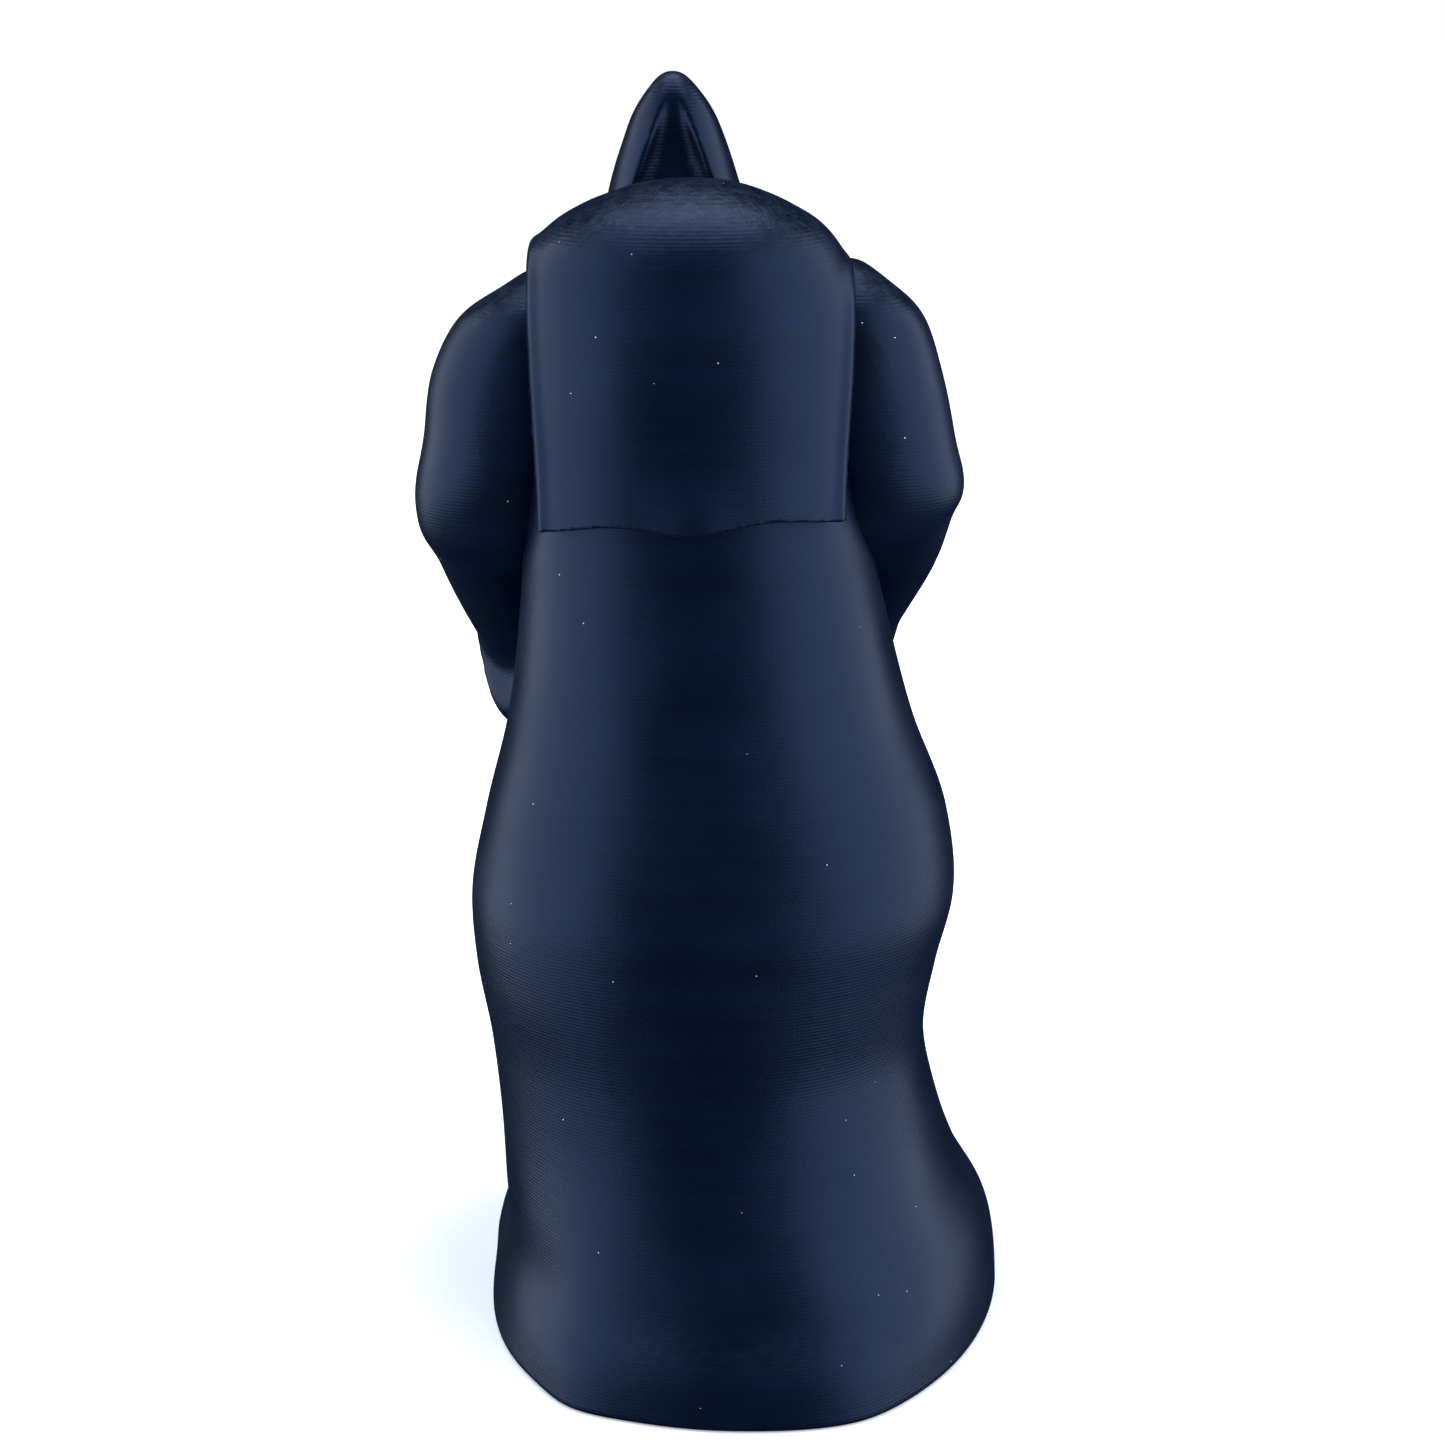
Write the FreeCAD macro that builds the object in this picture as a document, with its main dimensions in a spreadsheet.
"""A robed and hooded standing figurine, printed in separate pieces that are pinned and glued together.

+Z is up, the figure faces -Y, +X is its left hand side, and the origin is on the underside of the
robe, below the neck.  All sizes are millimetres.  Draped pieces are lofts through closed outlines,
whose four sides have reaches of their own.  What lies on the robe is cut to the robe's own form plus
one glue gap, and the joints that carry a piece's weight are held by round pins.
"""
import FreeCAD, Part

import math
import os

V = FreeCAD.Vector
doc = FreeCAD.newDocument("hooded_figurine")

# ---------------------------------------------------------------- driving dimensions
SIZES = {
    # glued joints
    "glue_gap": 0.15,
    "pin_gap": 0.1,  # radial, round each pin
    "pin_end_gap": 0.3,
    # the shelf in front of the shoulder hump, which carries the hood and the head
    "shelf_z": 117.0,
    "shelf_back_y": 1.0,
    # shoulder cape
    "cape_thick": 1.7,
    "cape_hem_z": 101.9,
    "cape_hem_rise": 1.9,  # of its corners above its middle
    "cape_half_top": 19.0,
    "cape_half_hem": 17.6,
    # head
    "head_x": 1.5,
    "head_y": -13.4,
    "head_z": 130.4,
    "head_half_width": 6.2,
    "head_half_depth": 7.4,
    "head_half_height": 9.2,
    "neck_dia": 8.0,
    "neck_y": -9.5,
    "neck_in_head": 5.1,  # reach of the neck above the chin
    # hood
    "head_gap": 0.3,
    "face_half_width": 5.6,
    "face_half_height": 8.4,
    "groove_half_width": 3.6,
    "groove_half_length": 12.0,
    "groove_depth": 1.8,
    # sleeves, each from a shoulder round the elbow to the mouth of a bell
    "elbow_x": 27.0,
    "elbow_y": -1.5,
    "mouth_x": 6.6,
    "mouth_y": -24.5,
    "forearm_z": 104.0,
    "cuff_wall": 1.4,
    "cuff_depth": 10.0,
    # hands
    "wrist_dia": 4.8,
    "wrist_z": 107.5,
    "wrist_reach": 8.0,  # past the mouth of the sleeve
    "wrist_socket": 5.0,  # past the floor of the cuff
    "hand_gap": 0.15,  # between the palms
    "hand_half_length": 9.0,
    "hand_half_width": 3.7,
    "hand_half_thick": 4.4,
    "hand_forward": 6.6,  # of the sleeve's mouth
    "hand_z": 114.5,
    "hand_lean": 14.0,  # degrees forward from upright
    # pins
    "shoulder_pin_dia": 4.0,
    "shoulder_pin_length": 14.0,
    "shoulder_pin_low_z": 101.0,
    "shoulder_pin_high_z": 111.5,
    "shoulder_pin_y": -1.0,
    "neck_pin_dia": 4.0,
    "neck_pin_length": 13.0,
    "hood_pin_dia": 3.0,
    "hood_pin_length": 8.0,
    "hood_pin_x": 11.0,
    "hood_pin_y": -6.0,
}

# Each row is one outline: height, then the middle's x and y, then the reach to the figure's left
# and right (+X and -X), to its front and to its back (-Y and +Y).
STATION_COLUMNS = ("z", "x", "y", "left", "right", "front", "back")
ROBE_STATIONS = {
    "hem": (0.0, -6.8, -2.0, 32.6, 31.8, 29.0, 39.8),
    "hem_roll": (5.0, -6.4, -2.0, 31.3, 32.0, 28.0, 38.8),
    "ankle": (11.0, -6.0, -1.0, 29.6, 31.0, 26.0, 34.8),
    "calf": (18.0, -4.2, 0.0, 28.0, 29.0, 24.0, 30.8),
    "shin": (26.0, -2.3, 0.5, 26.5, 28.1, 22.6, 27.4),
    "knee": (36.0, -1.6, 0.5, 26.8, 26.9, 21.6, 25.4),
    "thigh": (46.0, -1.8, 0.8, 28.6, 28.1, 21.0, 24.6),
    "hip": (54.0, -2.3, 1.0, 29.4, 29.4, 20.6, 24.0),
    "belly": (64.0, -2.4, 1.0, 27.6, 28.3, 19.4, 22.4),
    "waist": (76.0, -1.8, 1.0, 24.0, 24.5, 17.2, 20.0),
    "ribs": (90.0, -1.0, 0.6, 21.4, 21.6, 15.6, 17.6),
    "chest": (104.0, 0.0, 0.4, 19.7, 19.7, 15.4, 16.2),
    "collar": (118.0, 0.0, 0.6, 19.0, 19.0, 15.2, 15.2),
    "shoulder": (127.0, 0.0, 1.2, 17.5, 17.5, 12.6, 12.8),
    "nape": (131.5, 0.0, 1.8, 15.6, 15.6, 10.4, 10.6),
    "dome": (135.0, 0.0, 2.2, 11.8, 11.8, 7.2, 7.4),
    "top": (137.2, 0.0, 2.6, 5.4, 5.4, 3.2, 3.2),
}
HOOD_STATIONS = {
    "mantle": (119.5, 0.8, -6.0, 11.5, 11.5, 10.5, 6.5),
    "throat": (123.0, 1.4, -9.0, 9.6, 9.6, 9.8, 6.5),
    "cheek": (129.0, 1.7, -11.5, 8.9, 8.9, 9.6, 9.0),
    "brow": (134.5, 2.0, -11.5, 8.3, 8.3, 9.4, 9.1),
    "crown": (139.5, 2.1, -10.5, 7.0, 7.0, 8.0, 7.1),
    "peak": (144.5, 2.1, -9.5, 5.1, 5.1, 5.6, 4.8),
    "tip": (148.2, 2.2, -9.0, 2.9, 2.9, 3.0, 2.8),
    "point": (150.0, 2.2, -9.0, 1.1, 1.1, 1.1, 1.1),
}
UPPER_SLEEVE_STATIONS = {
    "cap": (128.6, 17.0, 0.0, 1.6, 2.0, 3.0, 3.0),
    "deltoid": (126.4, 17.0, 0.0, 5.0, 4.0, 6.0, 5.6),
    "shoulder": (122.5, 18.0, 0.0, 9.4, 6.0, 8.6, 7.6),
    "arm": (116.5, 19.0, -0.4, 11.6, 6.5, 10.0, 8.8),
    "mid": (109.0, 20.0, -1.0, 12.0, 6.0, 10.5, 9.4),
    "elbow": (102.0, 21.5, -2.0, 11.9, 6.0, 10.5, 9.6),
    "under": (97.0, 22.0, -3.0, 10.8, 6.0, 9.5, 8.6),
    "bottom": (93.6, 22.4, -4.0, 7.8, 5.0, 7.0, 6.0),
}
# Each row is one upright outline across the forearm: the share of the way from the elbow to the
# mouth, the reach above and below the forearm, and the half width.
BELL_COLUMNS = ("along", "above", "below", "half")
BELL_STATIONS = {
    "elbow": (-0.1, 4.0, 8.0, 4.2),
    "fold": (0.18, 6.2, 20.0, 6.4),
    "drape": (0.45, 7.2, 33.0, 6.8),
    "sweep": (0.75, 7.8, 36.5, 6.6),
    "mouth": (1.0, 8.0, 37.5, 6.4),
}

sheet = doc.addObject("Spreadsheet::Sheet", "sizes")
cells = dict(SIZES)
for piece, columns, stations in (
    ("robe", STATION_COLUMNS, ROBE_STATIONS),
    ("hood", STATION_COLUMNS, HOOD_STATIONS),
    ("sleeve", STATION_COLUMNS, UPPER_SLEEVE_STATIONS),
    ("bell", BELL_COLUMNS, BELL_STATIONS),
):
    for station, values in stations.items():
        for column, value in zip(columns, values):
            cells[f"{piece}_{station}_{column}"] = value
for row, (alias, value) in enumerate(cells.items(), start=1):
    sheet.set(f"A{row}", alias)
    sheet.set(f"B{row}", str(value))
    sheet.setAlias(f"B{row}", alias)
doc.recompute()


def size(alias):
    """The value that the sheet holds under this alias."""
    return float(getattr(sheet, alias))


# ---------------------------------------------------------------- builders
OUTLINE_POINTS = 12
DRAPED = 2.2  # fullness of a draped outline, where 2 is an ellipse
HANGING = 3.0  # and of a hanging bell
BACK = math.pi / 2
FRONT = -math.pi / 2
FAR = 100.0  # reach of the cutting blocks, past the whole figure
PLACES = {"x": "Placement.Base.x", "y": "Placement.Base.y", "z": "Placement.Base.z"}


def make(kind, name, rotation=FreeCAD.Rotation(), **bindings):
    """An object of the document, turned, with its place and its sizes bound to the sheet's cells."""
    made = doc.addObject(kind, name)
    made.Placement = FreeCAD.Placement(V(), rotation)
    for key, expression in bindings.items():
        made.setExpression(PLACES.get(key, key), expression)
    return made


def outline(name, reaches, placement, fullness=DRAPED, seam=FRONT):
    """A closed smooth outline whose four sides have reaches of their own from its middle.

    Its seam, where it starts and ends, lies on the side that no other piece is joined to.
    """
    plus_x, minus_x, minus_y, plus_y = reaches
    points = []
    for step in range(OUTLINE_POINTS):
        angle = 2 * math.pi * step / OUTLINE_POINTS + seam
        x = math.copysign(abs(math.cos(angle)) ** (2 / fullness), math.cos(angle))
        y = math.copysign(abs(math.sin(angle)) ** (2 / fullness), math.sin(angle))
        points.append(V(x * (plus_x if x > 0 else minus_x), y * (plus_y if y > 0 else minus_y), 0))
    curve = Part.BSplineCurve()
    curve.interpolate(Points=points, PeriodicFlag=True)
    made = doc.addObject("Part::Feature", name)
    made.Shape = Part.Wire([curve.toShape()])
    made.Placement = placement
    return made


def loft(name, outlines):
    """A solid through a row of outlines."""
    made = doc.addObject("Part::Loft", name)
    made.Sections = outlines
    made.Solid = True
    return made


def draped(name, piece, stations, grow=0.0, rise_from=math.inf, seam=FRONT):
    """A solid through level outlines, grown outwards, and upwards too above the level rise_from."""
    top = size(f"{piece}_{list(stations)[-1]}_z")
    outlines = []
    for station in stations:
        z, x, y, *reaches = (size(f"{piece}_{station}_{column}") for column in STATION_COLUMNS)
        if z > rise_from:
            z += grow * (z - rise_from) / (top - rise_from)
        place = FreeCAD.Placement(V(x, y, z), FreeCAD.Rotation())
        reaches = [reach + grow for reach in reaches]
        outlines.append(outline(f"{name}_{station}", reaches, place, seam=seam))
    return loft(name, outlines)


def feature(name, shape):
    made = doc.addObject("Part::Feature", name)
    made.Shape = shape
    return made


# The document's own Cut, Fuse and Common work to a tolerance that breaks these free-form surfaces, so
# the three below are exact operations on the shapes, and their sizes come from what they are given.
def cut(name, base, *tools):
    doc.recompute()
    shape = base.Shape
    for tool in tools:
        shape = shape.cut(tool.Shape)
    return feature(name, shape)


def common(name, first, second):
    doc.recompute()
    return feature(name, first.Shape.common(second.Shape))


def fuse(name, first, second):
    doc.recompute()
    return feature(name, first.Shape.fuse(second.Shape))


def group(name, *shapes):
    """Like pieces that share one node."""
    made = doc.addObject("Part::Compound", name)
    made.Links = shapes
    return made


def mirrored(name, source):
    """The source on the figure's other side."""
    made = doc.addObject("Part::Mirroring", name)
    made.Source = source
    made.Normal = V(1, 0, 0)
    return made


UPRIGHT = FreeCAD.Rotation()
ALONG_X = FreeCAD.Rotation(V(0, 1, 0), 90)


def pin_and_bore(name, kind, x, y, z, rotation=UPRIGHT):
    """A round pin whose middle is at x, y, z, and the longer, wider bore that it lies in.

    x, y and z are expressions, and kind names the pin's cells in the sheet.
    """
    middle = {"x": x, "y": y, "z": z}
    along = "x" if rotation is ALONG_X else "z"
    pair = []
    for part, radial, end in (("pin", "0", "0"), ("bore", "sizes.pin_gap", "sizes.pin_end_gap")):
        place = dict(middle)
        place[along] = f"{middle[along]} - sizes.{kind}_pin_length / 2 - {end}"
        radius = f"sizes.{kind}_pin_dia / 2 + {radial}"
        height = f"sizes.{kind}_pin_length + 2 * {end}"
        pair.append(make("Part::Cylinder", f"{name}_{part}", rotation, Radius=radius, Height=height, **place))
    return pair


# ---------------------------------------------------------------- robe and the forms that follow it
gap = size("glue_gap")
robe_form = draped("robe_form", "robe", ROBE_STATIONS)
robe_clear = draped("robe_clear", "robe", ROBE_STATIONS, gap, size("shelf_z"))
cape_form = draped("cape_form", "robe", ROBE_STATIONS, gap + size("cape_thick"), size("shelf_z"))


def front_block(name, inset):
    """Everything above the shelf and in front of the shoulder hump, less an inset on both."""
    return make(
        "Part::Box", name, Length=str(2 * FAR), Width=str(FAR), Height=str(FAR), x=str(-FAR),
        y=f"sizes.shelf_back_y - {inset} - {FAR}", z=f"sizes.shelf_z + {inset}",
    )


neck_pin, neck_bore = pin_and_bore(
    "neck", "neck", "sizes.head_x", "sizes.neck_y", "sizes.shelf_z"
)
hood_pins = []
hood_bores = []
for side, sign in (("left", ""), ("right", "-")):
    pin, bore = pin_and_bore(f"{side}_hood", "hood", f"{sign}sizes.hood_pin_x", "sizes.hood_pin_y", "sizes.shelf_z")
    hood_pins.append(pin)
    hood_bores.append(bore)

shoulder_pins = {"left": [], "right": []}
shoulder_bores = {"left": [], "right": []}
for side, sign in (("left", ""), ("right", "-")):
    for level in ("low", "high"):
        pin, bore = pin_and_bore(
            f"{side}_{level}_shoulder", "shoulder", f"{sign}sizes.robe_chest_{side}",
            "sizes.shoulder_pin_y", f"sizes.shoulder_pin_{level}_z", ALONG_X,
        )
        shoulder_pins[side].append(pin)
        shoulder_bores[side].append(bore)

robe = cut(
    "robe", robe_form, front_block("shelf_cut", "0"), neck_bore, *hood_bores,
    *shoulder_bores["left"], *shoulder_bores["right"],
)


# ---------------------------------------------------------------- shoulder cape
def curtain(name, grow, front):
    """The space that the cape hangs in, seen from behind: straight sides and a hem in one wave."""
    top = size("cape_half_top") + grow
    foot = size("cape_half_hem") + grow
    low = size("cape_hem_z") - grow
    corner = low + size("cape_hem_rise")
    hem = Part.BSplineCurve()
    hem.interpolate([V(-foot, front, corner), V(-foot / 2, front, (low + corner) / 2), V(0, front, low),
                     V(foot / 2, front, (low + corner) / 2), V(foot, front, corner)])
    shoulder_z = size("robe_shoulder_z")
    sides = Part.makePolygon([V(foot, front, corner), V(top, front, shoulder_z), V(top, front, corner + FAR),
                              V(-top, front, corner + FAR), V(-top, front, shoulder_z), V(-foot, front, corner)])
    made = doc.addObject("Part::Feature", name)
    made.Shape = Part.Face(Part.Wire([hem.toShape()] + sides.Edges)).extrude(V(0, FAR, 0))
    return made


cape_curtain = curtain("cape_curtain", 0, size("shelf_back_y"))
cape_clear = curtain("cape_clear", gap, size("shelf_back_y") - gap)
cape = cut("cape", common("cape_sheet", cape_form, cape_curtain), robe_clear)

# ---------------------------------------------------------------- head and hood
HEAD = {"x": "sizes.head_x", "y": "sizes.head_y", "z": "sizes.head_z"}
skull = make(
    "Part::Ellipsoid", "skull", Radius1="sizes.head_half_height", Radius2="sizes.head_half_width",
    Radius3="sizes.head_half_depth", **HEAD,
)
skull_clear = make(
    "Part::Ellipsoid", "skull_clear", Radius1="sizes.head_half_height + sizes.head_gap",
    Radius2="sizes.head_half_width + sizes.head_gap", Radius3="sizes.head_half_depth + sizes.head_gap", **HEAD,
)
NECK_RISE = "sizes.head_z - sizes.head_half_height + sizes.neck_in_head - sizes.shelf_z"
neck = make(
    "Part::Cylinder", "neck", Radius="sizes.neck_dia / 2", x="sizes.head_x", y="sizes.neck_y",
    z="sizes.shelf_z + sizes.glue_gap", Height=f"{NECK_RISE} - sizes.glue_gap",
)
neck_hole = make(
    "Part::Cylinder", "neck_hole", Radius="sizes.neck_dia / 2 + sizes.head_gap", x="sizes.head_x",
    y="sizes.neck_y", z="sizes.shelf_z", Height=f"{NECK_RISE} + sizes.head_gap",
)
head = cut("head", fuse("head_form", skull, neck), neck_bore)

FACING_FRONT = FreeCAD.Rotation(V(1, 0, 0), 90)
face_reaches = [size("face_half_width")] * 2 + [size("face_half_height")] * 2
face_place = FreeCAD.Placement(V(size("head_x"), size("head_y"), size("head_z")), FACING_FRONT)
face_outline = outline("face_outline", face_reaches, face_place)
face_opening = doc.addObject("Part::Extrusion", "face_opening")
face_opening.Base = face_outline
face_opening.DirMode = "Custom"
face_opening.Dir = V(0, -1, 0)
face_opening.LengthFwd = FAR
face_opening.Solid = True
groove = make(
    "Part::Ellipsoid", "groove", Radius1="sizes.groove_half_length", Radius2="sizes.groove_half_width",
    Radius3="sizes.groove_depth", x="sizes.hood_brow_x", y="sizes.hood_brow_y + sizes.hood_brow_back",
    z="sizes.hood_crown_z",
)
mantle = common("mantle", robe_form, front_block("mantle_block", "sizes.glue_gap"))
cowl = draped("cowl", "hood", HOOD_STATIONS, seam=BACK)
hood = cut(
    "hood", fuse("hood_form", mantle, cowl), skull_clear, neck_hole, face_opening, groove, *hood_bores,
    *shoulder_bores["left"], *shoulder_bores["right"],
)

# ---------------------------------------------------------------- sleeves
elbow = V(size("elbow_x"), size("elbow_y"), size("forearm_z"))
mouth = V(size("mouth_x"), size("mouth_y"), size("forearm_z"))
forward = (mouth - elbow).normalize()
UP = V(0, 0, 1)
ACROSS_FOREARM = FreeCAD.Rotation(UP.cross(forward), UP, forward, "ZYX")


def bell(name, stations, inset=0.0):
    """A solid through upright outlines across the forearm."""
    outlines = []
    for station in stations:
        along, above, below, half = (size(f"bell_{station}_{column}") for column in BELL_COLUMNS)
        reaches = [half - inset, half - inset, below - inset, above - inset]
        place = FreeCAD.Placement(elbow + (mouth - elbow) * along, ACROSS_FOREARM)
        outlines.append(outline(f"{name}_{station}", reaches, place, HANGING))
    return loft(name, outlines)


def hollow():
    """The space inside the bell's mouth."""
    above, below, half = (size(f"bell_mouth_{column}") - size("cuff_wall") for column in BELL_COLUMNS[1:])
    outlines = []
    for number, (depth, share) in enumerate(((size("cuff_depth"), 0.8), (-1.0, 1.0))):
        place = FreeCAD.Placement(mouth - forward * depth, ACROSS_FOREARM)
        outlines.append(outline(f"hollow_{number}", [half * share] * 2 + [below * share, above * share], place, HANGING))
    return loft("hollow", outlines)


wrist_start = mouth + forward * size("wrist_reach") + UP * (size("wrist_z") - size("forearm_z"))
wrist_length = size("wrist_reach") + size("cuff_depth") + size("wrist_socket")
ALONG_WRIST = FreeCAD.Rotation(UP, -forward)


def wrist(name, clearance):
    """The round wrist, from between the hands back through the cuff into the sleeve."""
    made = make("Part::Cylinder", name, Radius=f"sizes.wrist_dia / 2 + {clearance}")
    made.Height = wrist_length + clearance
    made.Placement = FreeCAD.Placement(wrist_start, ALONG_WRIST)
    return made


upper_sleeve = draped("upper_sleeve", "sleeve", UPPER_SLEEVE_STATIONS)
sleeve_form = fuse("sleeve_form", upper_sleeve, bell("forearm", BELL_STATIONS))
sleeve_hollow = cut("sleeve_hollow", sleeve_form, hollow(), wrist("wrist_socket_bore", size("pin_gap")))
sleeve_forms = {"left": sleeve_hollow, "right": mirrored("right_sleeve_form", sleeve_hollow)}
sleeves = {}
for side, form in sleeve_forms.items():
    sleeves[side] = cut(f"{side}_sleeve", form, robe_clear, cape_clear, *shoulder_bores[side])

# ---------------------------------------------------------------- hands, palm to palm
palm = make(
    "Part::Ellipsoid", "palm", FreeCAD.Rotation(V(1, 0, 0), size("hand_lean")), Radius1="sizes.hand_half_length",
    Radius2="sizes.hand_half_thick", Radius3="sizes.hand_half_width", y="sizes.mouth_y - sizes.hand_forward",
    z="sizes.hand_z",
)
other_side = make(
    "Part::Box", "other_side", Length=str(FAR), Width=str(2 * FAR), Height=str(2 * FAR),
    x=f"sizes.hand_gap / 2 - {FAR}", y=str(-FAR),
)
hand_form = cut("hand_half", fuse("hand_form", palm, wrist("wrist", 0)), other_side)
left_hand = cut("left_hand", hand_form, robe_clear)
right_hand = cut("right_hand", mirrored("right_hand_form", hand_form), robe_clear)

# ---------------------------------------------------------------- check and export
NODES = {
    "robe": robe,
    "cape": cape,
    "hood": hood,
    "head": head,
    "left_sleeve": sleeves["left"],
    "right_sleeve": sleeves["right"],
    "left_hand": left_hand,
    "right_hand": right_hand,
    "neck_pin": neck_pin,
    "hood_pins": group("hood_pins", *hood_pins),
    "left_shoulder_pins": group("left_shoulder_pins", *shoulder_pins["left"]),
    "right_shoulder_pins": group("right_shoulder_pins", *shoulder_pins["right"]),
}
SOLIDS = {"hood_pins": 2, "left_shoulder_pins": 2, "right_shoulder_pins": 2}

doc.recompute()
for item in doc.Objects:
    if "Invalid" in item.State or "Error" in item.State:
        raise RuntimeError(f"{item.Name} did not build: {item.State}")
for node, piece in NODES.items():
    piece.Label = node
    shape = piece.Shape
    if shape.isNull() or not shape.isValid() or len(shape.Solids) != SOLIDS.get(node, 1):
        raise RuntimeError(f"{node} is not sound: {len(shape.Solids)} solids")

os.makedirs("parts", exist_ok=True)
for node, piece in NODES.items():
    piece.Shape.exportStep(f"parts/{node}.step")
    box = piece.Shape.BoundBox
    print(f"{node}: {piece.Shape.Volume:.0f} mm3, x {box.XMin:.1f} to {box.XMax:.1f}, "
          f"y {box.YMin:.1f} to {box.YMax:.1f}, z {box.ZMin:.1f} to {box.ZMax:.1f}")
